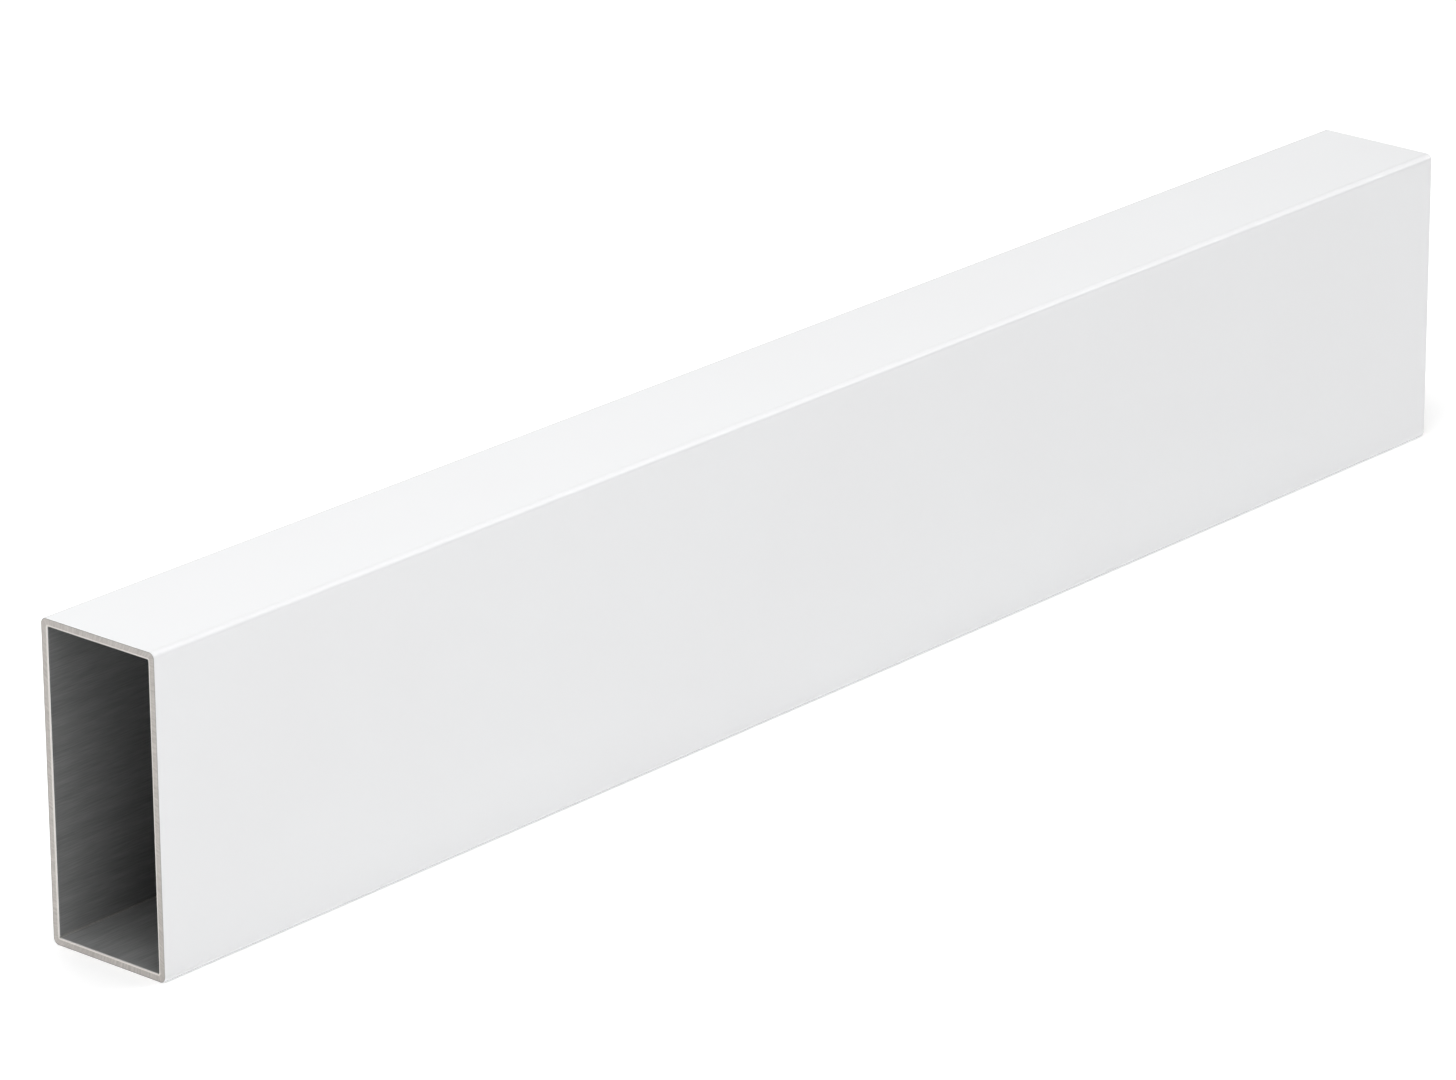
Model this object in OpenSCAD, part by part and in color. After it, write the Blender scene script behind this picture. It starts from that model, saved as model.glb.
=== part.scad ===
// Pergola purlin: one straight extruded aluminium box section, saw cut square at both ends.
// It stands on its narrow bottom face, as it does in service. X runs along the length, Y across
// the section and Z up. The origin is the centre of the bottom face. All sizes are in millimetres.

/* [Section] */
// Overall width of the section, across the narrow faces
section_width = 45; // [30:1:80]
// Overall height of the section, across the wide faces
section_height = 100; // [60:1:180]
// Wall thickness, the same on all four sides
wall = 2.5; // [1.6:0.1:5]
// Radius of the four long corners outside
outer_corner_r = 2; // [0.8:0.1:4]
// Radius of the four long corners inside the bore
inner_corner_r = 0.4; // [0.2:0.1:1.5]

/* [Saw cuts] */
// Length of the purlin from saw cut to saw cut
cut_length = 600; // [200:10:3000]
// Edge break round the outside of each saw cut
outer_break = 0.15; // [0.1:0.05:0.7]
// Deburring chamfer round the bore at each saw cut
bore_deburr = 0.2; // [0.1:0.05:0.7]

/* [Hidden] */
$fn = 64;
bore_width = section_width - 2 * wall;
bore_height = section_height - 2 * wall;
// How far the bore's cutter runs out past each saw cut
bore_overrun = wall;

// Half outline of a bar that runs along Y, from its axis out to half_breadth. Both ends grow by
// end_growth, over as much of the length: a flare where it is positive, a chamfer where negative.
function half_outline(length, half_breadth, end_growth) =
    let (end_y = length / 2, start_y = end_y - abs(end_growth), end_x = half_breadth + end_growth)
    [
        [0, -end_y], [end_x, -end_y], [half_breadth, -start_y],
        [half_breadth, start_y], [end_x, end_y], [0, end_y]
    ];

// A flat slab that runs along X, breadth across Y and thickness along Z
module slab(length, breadth, thickness, end_growth) {
    outline = half_outline(length, breadth / 2, end_growth);
    rotate([0, 0, -90])
        linear_extrude(thickness, center = true) {
            polygon(outline);
            mirror([1, 0]) polygon(outline);
        }
}

// A round rod that runs along X
module corner_rod(length, radius, end_growth) {
    rotate([0, 90, 0])
        rotate_extrude()
            polygon(half_outline(length, radius, end_growth));
}

// A rectangular bar along X, centred on its axis, with rounded long corners and grown ends
module rounded_bar(length, width, height, corner_r, end_growth) {
    core_width = width - 2 * corner_r;
    core_height = height - 2 * corner_r;
    slab(length, width, core_height, end_growth);
    rotate([90, 0, 0]) slab(length, height, core_width, end_growth);
    for (y_side = [-1, 1], z_side = [-1, 1])
        translate([0, y_side * core_width / 2, z_side * core_height / 2])
            corner_rod(length, corner_r, end_growth);
}

// The whole purlin: the outer bar with its broken end edges, less the bore with its flared mouths
module purlin_tube() {
    color("whitesmoke")
        translate([0, 0, section_height / 2])
            difference() {
                rounded_bar(cut_length, section_width, section_height, outer_corner_r, -outer_break);
                rounded_bar(
                    cut_length + 2 * bore_overrun, bore_width, bore_height,
                    inner_corner_r, bore_deburr + bore_overrun
                );
            }
}

purlin_tube();
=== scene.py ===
import math

import bmesh
import bpy
from mathutils import Matrix, Vector


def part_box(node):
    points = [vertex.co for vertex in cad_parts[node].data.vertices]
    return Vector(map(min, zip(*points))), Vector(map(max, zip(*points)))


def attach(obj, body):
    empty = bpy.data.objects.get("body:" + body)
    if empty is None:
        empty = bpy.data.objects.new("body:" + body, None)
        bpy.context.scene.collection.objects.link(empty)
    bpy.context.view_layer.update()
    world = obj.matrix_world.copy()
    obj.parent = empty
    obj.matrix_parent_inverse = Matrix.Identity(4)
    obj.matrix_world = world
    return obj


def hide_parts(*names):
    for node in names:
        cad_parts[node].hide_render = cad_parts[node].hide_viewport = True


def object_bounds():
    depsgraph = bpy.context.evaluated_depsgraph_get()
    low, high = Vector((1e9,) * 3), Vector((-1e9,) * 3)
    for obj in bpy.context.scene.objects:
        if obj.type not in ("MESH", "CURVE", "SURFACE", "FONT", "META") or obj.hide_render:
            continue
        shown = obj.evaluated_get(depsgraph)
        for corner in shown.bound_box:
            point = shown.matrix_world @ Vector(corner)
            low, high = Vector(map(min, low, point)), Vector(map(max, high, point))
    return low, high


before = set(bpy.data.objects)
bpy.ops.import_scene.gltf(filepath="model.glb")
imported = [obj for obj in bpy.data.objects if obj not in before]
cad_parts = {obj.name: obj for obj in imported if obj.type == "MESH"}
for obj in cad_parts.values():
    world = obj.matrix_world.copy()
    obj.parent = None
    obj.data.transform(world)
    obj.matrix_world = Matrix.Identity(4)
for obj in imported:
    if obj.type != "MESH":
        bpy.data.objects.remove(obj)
cadLow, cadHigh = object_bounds()  # the CAD box, before anything is added
mm = 0.001
scene = bpy.context.scene
print("frame loaded:", ", ".join(sorted(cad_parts)))


def hexToLinear(hexColour):
    # sRGB hex to the linear RGBA that the sockets take
    channels = [int(hexColour[i:i + 2], 16) / 255 for i in (1, 3, 5)]
    linear = [c / 12.92 if c <= 0.04045 else ((c + 0.055) / 1.055) ** 2.4 for c in channels]
    return (*linear, 1.0)


def addNode(tree, kind, inputs, **settings):
    # one shader node: settings are its own choices, inputs are values or sockets to link
    node = tree.nodes.new("ShaderNode" + kind)
    for name, value in settings.items():
        setattr(node, name, value)
    for name, value in inputs.items():
        if isinstance(value, bpy.types.NodeSocket):
            tree.links.new(value, node.inputs[name])
        else:
            node.inputs[name].default_value = value
    return node


def newMaterial(name):
    material = bpy.data.materials.new(name)
    material.use_nodes = True
    material.node_tree.nodes.clear()
    return material, material.node_tree


# In every finish IOR, metallic and roughness start from typical values and are then matched to the purlin.

# White polyester powder coat, sprayed and oven cured. It flows out to a smooth satin skin, so the
# eye gets soft broad reflections and, close up, a faint orange peel.
powderCoat = {
    "white": "#EBECED",
    "shade": "#E9E9EA",  # where the film lies a little thinner
    "shadeSize": 60,  # mm
    "peelSize": 1.6,  # mm from one crest of the orange peel to the next
    "peelHeight": 0.004,  # mm
    "roughness": 0.21,
    "ior": 1.5,
}


def makePowderCoat():
    material, tree = newMaterial("polyesterPowderCoatSprayed")
    place = addNode(tree, "TexCoord", {}).outputs["Object"]
    drift = addNode(tree, "TexNoise", {
        "Vector": place,
        "Scale": 1 / (powderCoat["shadeSize"] * mm),
        "Detail": 2.0,
    })
    colour = addNode(tree, "Mix", {
        0: drift.outputs["Fac"],
        6: hexToLinear(powderCoat["shade"]),
        7: hexToLinear(powderCoat["white"]),
    }, data_type="RGBA")
    peel = addNode(tree, "TexNoise", {
        "Vector": place,
        "Scale": 1 / (powderCoat["peelSize"] * mm),
        "Detail": 1.0,
    })
    bump = addNode(tree, "Bump", {
        "Height": peel.outputs["Fac"],
        "Distance": powderCoat["peelHeight"] * mm,
        "Strength": 1.0,
    })
    shader = addNode(tree, "BsdfPrincipled", {
        "Base Color": colour.outputs[2],
        "Roughness": powderCoat["roughness"],
        "IOR": powderCoat["ior"],
        "Normal": bump.outputs["Normal"],
    })
    addNode(tree, "OutputMaterial", {"Surface": shader.outputs["BSDF"]})
    return material


# Bare 6063 aluminium where the saw went through. The teeth leave fine scores across the wall, a
# little aslant, which give the cut a pale warm grey with thin streaks. It is darker in a thin band
# next to the coat, and a bright line beside the filed edge is a painted highlight.
sawCut = {
    "bright": "#DEDAD6",
    "dark": "#C6C2BE",
    "contrast": (0.3, 0.7),  # stretch of the noise that runs from dark to bright
    "scoreWidth": 0.6,  # mm, real scores are about 0.1, drawn coarser so that they show
    "scoreLength": 5.0,  # mm
    "scoreSlant": 20,  # degrees off square to the wall
    "scoreDepth": 0.01,  # mm
    # the cut is darker in a thin band next to the coat
    "coatLine": "#A8A4A0",
    "coatLineWidth": 0.3,  # mm of the wall next to the coat
    "paintedHighlightLine": "#F2EEEA",  # painted highlight: a bright band next to the filed edge, where the edge catches the light
    "paintedHighlightLineWidth": 0.45,  # mm
    "roughness": 0.75,
}


def makeSawCut():
    material, tree = newMaterial("aluminiumSawCut")
    walls = addNode(tree, "UVMap", {}, uv_map="walls").outputs["UV"]
    stretched = addNode(tree, "Mapping", {
        "Vector": walls,
        "Rotation": (0.0, 0.0, math.radians(sawCut["scoreSlant"])),
        "Scale": (sawCut["scoreWidth"] * mm, sawCut["scoreLength"] * mm, 1.0),
    }, vector_type="TEXTURE")
    scores = addNode(tree, "TexNoise", {
        "Vector": stretched.outputs["Vector"],
        "Scale": 1.0,
        "Detail": 3.0,
        "Roughness": 0.65,
    })
    contrast = addNode(tree, "MapRange", {
        "Value": scores.outputs["Fac"],
        "From Min": sawCut["contrast"][0],
        "From Max": sawCut["contrast"][1],
    })
    metal = addNode(tree, "Mix", {
        0: contrast.outputs["Result"],
        6: hexToLinear(sawCut["dark"]),
        7: hexToLinear(sawCut["bright"]),
    }, data_type="RGBA")
    inset = addNode(tree, "SeparateXYZ", {"Vector": walls}).outputs["Y"]
    nearCoat = addNode(tree, "MapRange", {
        "Value": inset,
        "From Min": purlin["lipDepth"] * mm,
        "From Max": (purlin["lipDepth"] + sawCut["coatLineWidth"]) * mm,
        "To Min": 1.0,
        "To Max": 0.0,
    })
    darkerNearCoat = addNode(tree, "Mix", {
        0: nearCoat.outputs["Result"],
        6: metal.outputs[2],
        7: hexToLinear(sawCut["coatLine"]),
    }, data_type="RGBA")
    cutInside = purlin["wall"] - purlin["deburr"]
    # painted highlight: the cut turns bright in a thin band beside the filed edge
    paintedHighlightMask = addNode(tree, "MapRange", {
        "Value": inset,
        "From Min": (cutInside - sawCut["paintedHighlightLineWidth"]) * mm,
        "From Max": (cutInside - sawCut["paintedHighlightLineWidth"] / 2) * mm,
    })
    colour = addNode(tree, "Mix", {
        0: paintedHighlightMask.outputs["Result"],
        6: darkerNearCoat.outputs[2],
        7: hexToLinear(sawCut["paintedHighlightLine"]),
    }, data_type="RGBA")
    bump = addNode(tree, "Bump", {
        "Height": scores.outputs["Fac"],
        "Distance": sawCut["scoreDepth"] * mm,
        "Strength": 1.0,
    })
    shader = addNode(tree, "BsdfPrincipled", {
        "Base Color": colour.outputs[2],
        "Metallic": 1.0,
        "Roughness": sawCut["roughness"],
        "Normal": bump.outputs["Normal"],
    })
    addNode(tree, "OutputMaterial", {"Surface": shader.outputs["BSDF"]})
    return material


# The same aluminium filed bright where the burr came off round the bore. The bore's long corners take it
# too as a painted highlight: its lighter colour draws thin light lines there against the dark inside.
filedEdgeAndPaintedHighlight = {
    "bright": "#E6E4E1",
    "dark": "#CFCCC8",
    "strokeSize": 1.2,  # mm
    "metallic": 0.78,  # the file's strokes scatter a little of the light
    "roughness": 0.38,
}


def makeFiledEdgeAndPaintedHighlight():
    material, tree = newMaterial("aluminiumFiledEdgeAndPaintedCornerHighlight")
    strokes = addNode(tree, "TexNoise", {
        "Vector": addNode(tree, "TexCoord", {}).outputs["Object"],
        "Scale": 1 / (filedEdgeAndPaintedHighlight["strokeSize"] * mm),
        "Detail": 2.0,
    })
    colour = addNode(tree, "Mix", {
        0: strokes.outputs["Fac"],
        6: hexToLinear(filedEdgeAndPaintedHighlight["dark"]),
        7: hexToLinear(filedEdgeAndPaintedHighlight["bright"]),
    }, data_type="RGBA")
    shader = addNode(tree, "BsdfPrincipled", {
        "Base Color": colour.outputs[2],
        "Metallic": filedEdgeAndPaintedHighlight["metallic"],
        "Roughness": filedEdgeAndPaintedHighlight["roughness"],
    })
    addNode(tree, "OutputMaterial", {"Surface": shader.outputs["BSDF"]})
    return material


# Mill-finish aluminium inside the bore, as it left the extrusion die. Fine die lines run with the
# length over broad soft bands, so the dull grey breaks into faint streaks that fade into the dark.
millFinish = {
    "bright": "#BDBEBE",
    "dark": "#989999",
    "contrast": (0.3, 0.7),  # stretch of the noise that runs from dark to bright
    "lineSize": (10, 0.4),  # mm along and across, real lines are finer, drawn coarser so that they show
    "bandSize": (70, 5.0),  # mm
    "bandShare": 0.35,
    "lineDepth": 0.004,  # mm
    "metallic": 0.6,  # the dull oxide skin scatters part of the light
    "roughness": 0.45,
}


def makeMillFinish():
    material, tree = newMaterial("aluminiumMillFinishExtruded")
    place = addNode(tree, "TexCoord", {}).outputs["Object"]
    streaks = []
    for along, across in (millFinish["lineSize"], millFinish["bandSize"]):
        stretched = addNode(tree, "Mapping", {
            "Vector": place,
            "Scale": (along * mm, across * mm, across * mm),
        }, vector_type="TEXTURE")
        streaks.append(addNode(tree, "TexNoise", {
            "Vector": stretched.outputs["Vector"],
            "Scale": 1.0,
            "Detail": 2.0,
            "Roughness": 0.6,
        }).outputs["Fac"])
    mixed = addNode(tree, "Mix", {
        0: millFinish["bandShare"],
        2: streaks[0],
        3: streaks[1],
    }, data_type="FLOAT")
    contrast = addNode(tree, "MapRange", {
        "Value": mixed.outputs[0],
        "From Min": millFinish["contrast"][0],
        "From Max": millFinish["contrast"][1],
    })
    colour = addNode(tree, "Mix", {
        0: contrast.outputs["Result"],
        6: hexToLinear(millFinish["dark"]),
        7: hexToLinear(millFinish["bright"]),
    }, data_type="RGBA")
    bump = addNode(tree, "Bump", {
        "Height": streaks[0],
        "Distance": millFinish["lineDepth"] * mm,
        "Strength": 1.0,
    })
    shader = addNode(tree, "BsdfPrincipled", {
        "Base Color": colour.outputs[2],
        "Metallic": millFinish["metallic"],
        "Roughness": millFinish["roughness"],
        "Normal": bump.outputs["Normal"],
    })
    addNode(tree, "OutputMaterial", {"Surface": shader.outputs["BSDF"]})
    return material


# The purlin: one extruded box section. Overall sizes come from the frame, the rest is in mm.
purlin = {
    "wall": 2.5,
    "outerCorner": 2.0,  # radius of the long corners outside
    "innerCorner": 0.4,  # radius of the long corners in the bore
    "lipDepth": 0.15,  # the coat's rounded lip at each saw cut, into the wall
    "lipLength": 0.4,  # and along the purlin
    "deburr": 0.2,  # filed edge round the bore at each saw cut
    "deburrCrown": 0.03,  # how far the filed edge bulges
    "cornerSteps": 8,
    "lipSteps": 6,
    "cutSteps": 4,
    "deburrSteps": 3,
    "faceStep": 4.0,  # spacing of the mesh on the flat faces, round the section
    "lengthStep": 10.0,  # and along the length
    "sharpAngle": 20,  # degrees, a crease sharper than this stays crisp
}
coatSlot, cutSlot, filedEdgeAndHighlightSlot, boreSlot = range(4)
# share of the baked picture's height for each run of the mesh, generous for the two thin cut ends
bakeRows = {
    "skin": (0.005, 0.415),
    "bore": (0.425, 0.865),
    "farEnd": (0.875, 0.93),
    "nearEnd": (0.94, 0.995),
}
bakeStart, bakeSpan = 0.005, 0.99  # the picture's width, less a thin margin


def sectionLoop(width, height, radius, flatSteps):
    # points (y, z) round a rounded rectangle on the purlin's axis, from the bottom corner at +y on
    points = []
    corners = ((1, -1, -90), (1, 1, 0), (-1, 1, 90), (-1, -1, 180))
    for index, (ySide, zSide, startAngle) in enumerate(corners):
        yCentre = ySide * (width / 2 - radius)
        zCentre = zSide * (height / 2 - radius)
        arc = []
        for step in range(purlin["cornerSteps"] + 1):
            angle = math.radians(startAngle + 90 * step / purlin["cornerSteps"])
            arc.append(Vector((yCentre + radius * math.cos(angle), zCentre + radius * math.sin(angle))))
        points.extend(arc)
        yNext, zNext, nextAngle = corners[(index + 1) % 4]
        nextStart = Vector((
            yNext * (width / 2 - radius) + radius * math.cos(math.radians(nextAngle)),
            zNext * (height / 2 - radius) + radius * math.sin(math.radians(nextAngle)),
        ))
        steps = flatSteps[index % 2]
        points.extend(arc[-1].lerp(nextStart, step / steps) for step in range(1, steps))
    return points


def endStations(half):
    # round the lip, across the cut and over the filed edge: (x, inset, slot of the strip before it)
    wall, deburr = purlin["wall"], purlin["deburr"]
    lipDepth, lipLength = purlin["lipDepth"], purlin["lipLength"]
    stations = [(half - lipLength, 0.0, coatSlot)]
    for step in range(1, purlin["lipSteps"] + 1):
        angle = math.radians(90 * step / purlin["lipSteps"])
        x = half - lipLength * (1 - math.sin(angle))
        stations.append((x, lipDepth * (1 - math.cos(angle)), coatSlot))
    for step in range(1, purlin["cutSteps"] + 1):
        share = step / purlin["cutSteps"]
        stations.append((half, lipDepth + (wall - deburr - lipDepth) * share, cutSlot))
    for step in range(1, purlin["deburrSteps"] + 1):
        share = step / purlin["deburrSteps"]
        bulge = purlin["deburrCrown"] * 4 * share * (1 - share) * math.sqrt(0.5)
        stations.append((half - deburr * share + bulge, wall - deburr * (1 - share) - bulge, filedEdgeAndHighlightSlot))
    return stations


def makePurlin():
    low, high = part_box("purlin_tube")
    length, width, height = ((high[i] - low[i]) / mm for i in range(3))
    half = length / 2
    steps = math.ceil(length / purlin["lengthStep"])
    skinReach = half - purlin["lipLength"]
    boreReach = half - purlin["deburr"]
    end = endStations(half)

    # one closed run of strips: skin to the far end, over its cut, back through the bore
    # and over the near cut
    strips = []
    for step in range(steps):
        x, nextX = (skinReach * (2 * s / steps - 1) for s in (step, step + 1))
        strips.append(("skin", coatSlot, (x, 0.0), (nextX, 0.0)))
    for (x, inset, _), (nextX, nextInset, slot) in zip(end, end[1:]):
        strips.append(("farEnd", slot, (x, inset), (nextX, nextInset)))
    for step in range(steps):
        x, nextX = (boreReach * (1 - 2 * s / steps) for s in (step, step + 1))
        strips.append(("bore", boreSlot, (x, purlin["wall"]), (nextX, purlin["wall"])))
    for (nextX, nextInset, _), (x, inset, slot) in zip(end[-2::-1], end[:0:-1]):
        strips.append(("nearEnd", slot, (-x, inset), (-nextX, nextInset)))

    flatSteps = (
        math.ceil((height - 2 * purlin["outerCorner"]) / purlin["faceStep"]),
        math.ceil((width - 2 * purlin["outerCorner"]) / purlin["faceStep"]),
    )
    mesh = bpy.data.meshes.new("purlinExtrusion")
    grid = bmesh.new()
    rings = []
    tightening = purlin["innerCorner"] - purlin["outerCorner"]  # of the corners, from skin to bore
    for _, _, (x, inset), _ in strips:
        radius = purlin["outerCorner"] + tightening * inset / purlin["wall"]
        loop = sectionLoop(width - 2 * inset, height - 2 * inset, radius, flatSteps)
        rings.append([grid.verts.new((x * mm, y * mm, (z + height / 2) * mm)) for y, z in loop])
    count = len(rings[0])
    around = [0.0]
    for spot in range(count):
        around.append(around[-1] + (rings[0][(spot + 1) % count].co - rings[0][spot].co).length)

    walls = grid.loops.layers.uv.new("walls")  # metres round the section, then metres into the wall
    bake = grid.loops.layers.uv.new("OFBake")
    reach = dict.fromkeys(bakeRows, 0.0)
    for row, _, before, after in strips:
        reach[row] += math.dist(before, after)
    run = dict.fromkeys(bakeRows, 0.0)
    sides = [purlin["cornerSteps"] + flatSteps[index % 2] for index in range(4)]
    cornerSpots = set()
    for index in range(4):
        start = sum(sides[:index])
        cornerSpots.update(range(start, start + purlin["cornerSteps"]))
    for index, (row, slot, before, after) in enumerate(strips):
        ring, nextRing = rings[index], rings[(index + 1) % len(rings)]
        shares = [run[row] / reach[row]]
        run[row] += math.dist(before, after)
        shares.append(run[row] / reach[row])
        for spot in range(count):
            onward = (spot + 1) % count
            face = grid.faces.new((ring[spot], ring[onward], nextRing[onward], nextRing[spot]))
            # the bore's corner fillets take the lighter filed-edge finish as a painted highlight
            face.material_index = filedEdgeAndHighlightSlot if row == "bore" and spot in cornerSpots else slot
            face.smooth = True
            corners = ((spot, 0), (spot + 1, 0), (spot + 1, 1), (spot, 1))
            for corner, (place, side) in zip(face.loops, corners):
                corner[walls].uv = (around[place], (before, after)[side][1] * mm)
                across, up = around[place] / around[-1], shares[side]
                if row in ("skin", "bore"):
                    across, up = up, across
                rowLow, rowHigh = bakeRows[row]
                corner[bake].uv = (bakeStart + bakeSpan * across, rowLow + (rowHigh - rowLow) * up)
    bmesh.ops.recalc_face_normals(grid, faces=grid.faces)
    grid.to_mesh(mesh)
    grid.free()
    mesh.set_sharp_from_angle(angle=math.radians(purlin["sharpAngle"]))

    piece = bpy.data.objects.new("purlinExtrusion", mesh)
    scene.collection.objects.link(piece)
    for material in (makePowderCoat(), makeSawCut(), makeFiledEdgeAndPaintedHighlight(), makeMillFinish()):
        mesh.materials.append(material)
    evenShade = piece.modifiers.new("evenShade", "WEIGHTED_NORMAL")
    evenShade.keep_sharp = True
    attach(piece, "root")
    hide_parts("purlin_tube")
    print("purlin:", len(mesh.polygons), "faces,", len(rings), "rings of", count, "points")


makePurlin()

# Studio floor: a matt white light table, lit a little from below so that shadows stay faint
floor = {"size": 40.0, "colour": "#FBFBFB", "roughness": 0.9, "glow": 0.21}


def makeFloor():
    mesh = bpy.data.meshes.new("studioFloor")
    reach = floor["size"] / 2
    corners = [(-reach, -reach, 0), (reach, -reach, 0), (reach, reach, 0), (-reach, reach, 0)]
    mesh.from_pydata(corners, [], [(0, 1, 2, 3)])
    material, tree = newMaterial("mattWhiteFloor")
    shader = addNode(tree, "BsdfPrincipled", {
        "Base Color": hexToLinear(floor["colour"]),
        "Roughness": floor["roughness"],
        "Emission Color": hexToLinear(floor["colour"]),
        "Emission Strength": floor["glow"],
    })
    addNode(tree, "OutputMaterial", {"Surface": shader.outputs["BSDF"]})
    mesh.materials.append(material)
    plane = bpy.data.objects.new("studioFloor", mesh)
    plane.location.z = cadLow.z
    scene.collection.objects.link(plane)
    print("floor laid at", round(plane.location.z / mm, 3), "mm")


makeFloor()

# Soft studio light: wide softboxes overhead and behind, a small key from the front on the near end,
# and a box and a strip at the far end that draw the bright line along the front top edge
studio = {
    "room": "#FFFFFF",
    "roomStrength": 0.04,
    "softboxes": {
        # name: (place, aim, width and height in metres, roll in degrees, watts)
        "overhead": ((0.15, 0.35, 2.6), (0.15, 0.35, 0.0), (5.0, 5.0), 0, 18.0),
        "nearTop": ((-0.5, -0.2, 1.5), (-0.3, 0.0, 0.1), (1.0, 1.0), 0, 12.1),
        "key": ((-0.65, -0.9, 0.8), (-0.3, 0.0, 0.05), (0.6, 0.6), 0, 3.1),
        "crestLight": ((1.6, -0.35, 1.55), (0.0, 0.0, 0.1), (1.7, 1.25), 0, 13.6),
        "crestStrip": ((1.6, -1.2, 1.1), (0.0, -0.02, 0.1), (0.2, 1.2), 40, 8.2),
        "endLight": ((-1.0, 1.0, 0.6), (-0.35, 0.05, 0.03), (0.8, 0.8), 0, 2.8),
        "backLight": ((1.4, 1.3, 0.8), (0.0, 0.0, 0.1), (1.0, 0.8), 0, 1.9),
        "backTop": ((0.3, 1.8, 1.6), (0.0, 0.0, 0.1), (1.6, 1.0), 0, 13.5),
    },
}


def makeStudio():
    world = bpy.data.worlds.new("whiteRoom")
    world.use_nodes = True
    world.node_tree.nodes.clear()
    room = addNode(world.node_tree, "Background", {
        "Color": hexToLinear(studio["room"]),
        "Strength": studio["roomStrength"],
    })
    addNode(world.node_tree, "OutputWorld", {"Surface": room.outputs["Background"]})
    scene.world = world
    for name, (place, aim, size, roll, watts) in studio["softboxes"].items():
        light = bpy.data.lights.new(name, "AREA")
        light.shape = "RECTANGLE"
        light.size, light.size_y = size
        light.energy = watts
        lamp = bpy.data.objects.new(name, light)
        lamp.location = place
        turn = (Vector(aim) - Vector(place)).to_track_quat("-Z", "Y").to_matrix()
        lamp.rotation_euler = (turn @ Matrix.Rotation(math.radians(roll), 3, "Z")).to_euler()
        lamp.visible_camera = False
        scene.collection.objects.link(lamp)
    scene.view_settings.view_transform = "Standard"
    print("studio lit by", len(studio["softboxes"]), "softboxes and the room")


makeStudio()

# Camera: a long lens, as the near and far ends differ little in size
view = {
    "azimuth": -48.88,  # degrees, 0 looks along +Y
    "elevation": 20.40,
    "roll": -0.36,
    "distance": 2.3166,
    "aim": (-0.0157, 0.0145, 0.0438),
    "lens": 185.2,
    "sensor": 36.0,
}


def makeCamera():
    data = bpy.data.cameras.new("productCamera")
    data.lens = view["lens"]
    data.sensor_width = view["sensor"]
    azimuth, elevation = math.radians(view["azimuth"]), math.radians(view["elevation"])
    back = Vector((
        math.sin(azimuth) * math.cos(elevation),
        -math.cos(azimuth) * math.cos(elevation),
        math.sin(elevation),
    ))
    turn = back.to_track_quat("Z", "Y").to_matrix().to_4x4()
    camera = bpy.data.objects.new("productCamera", data)
    camera.matrix_world = (
        Matrix.Translation(Vector(view["aim"]) + back * view["distance"])
        @ turn
        @ Matrix.Rotation(math.radians(view["roll"]), 4, "Z")
    )
    scene.collection.objects.link(camera)
    scene.camera = camera
    print("camera at", [round(x, 3) for x in camera.matrix_world.translation])


makeCamera()
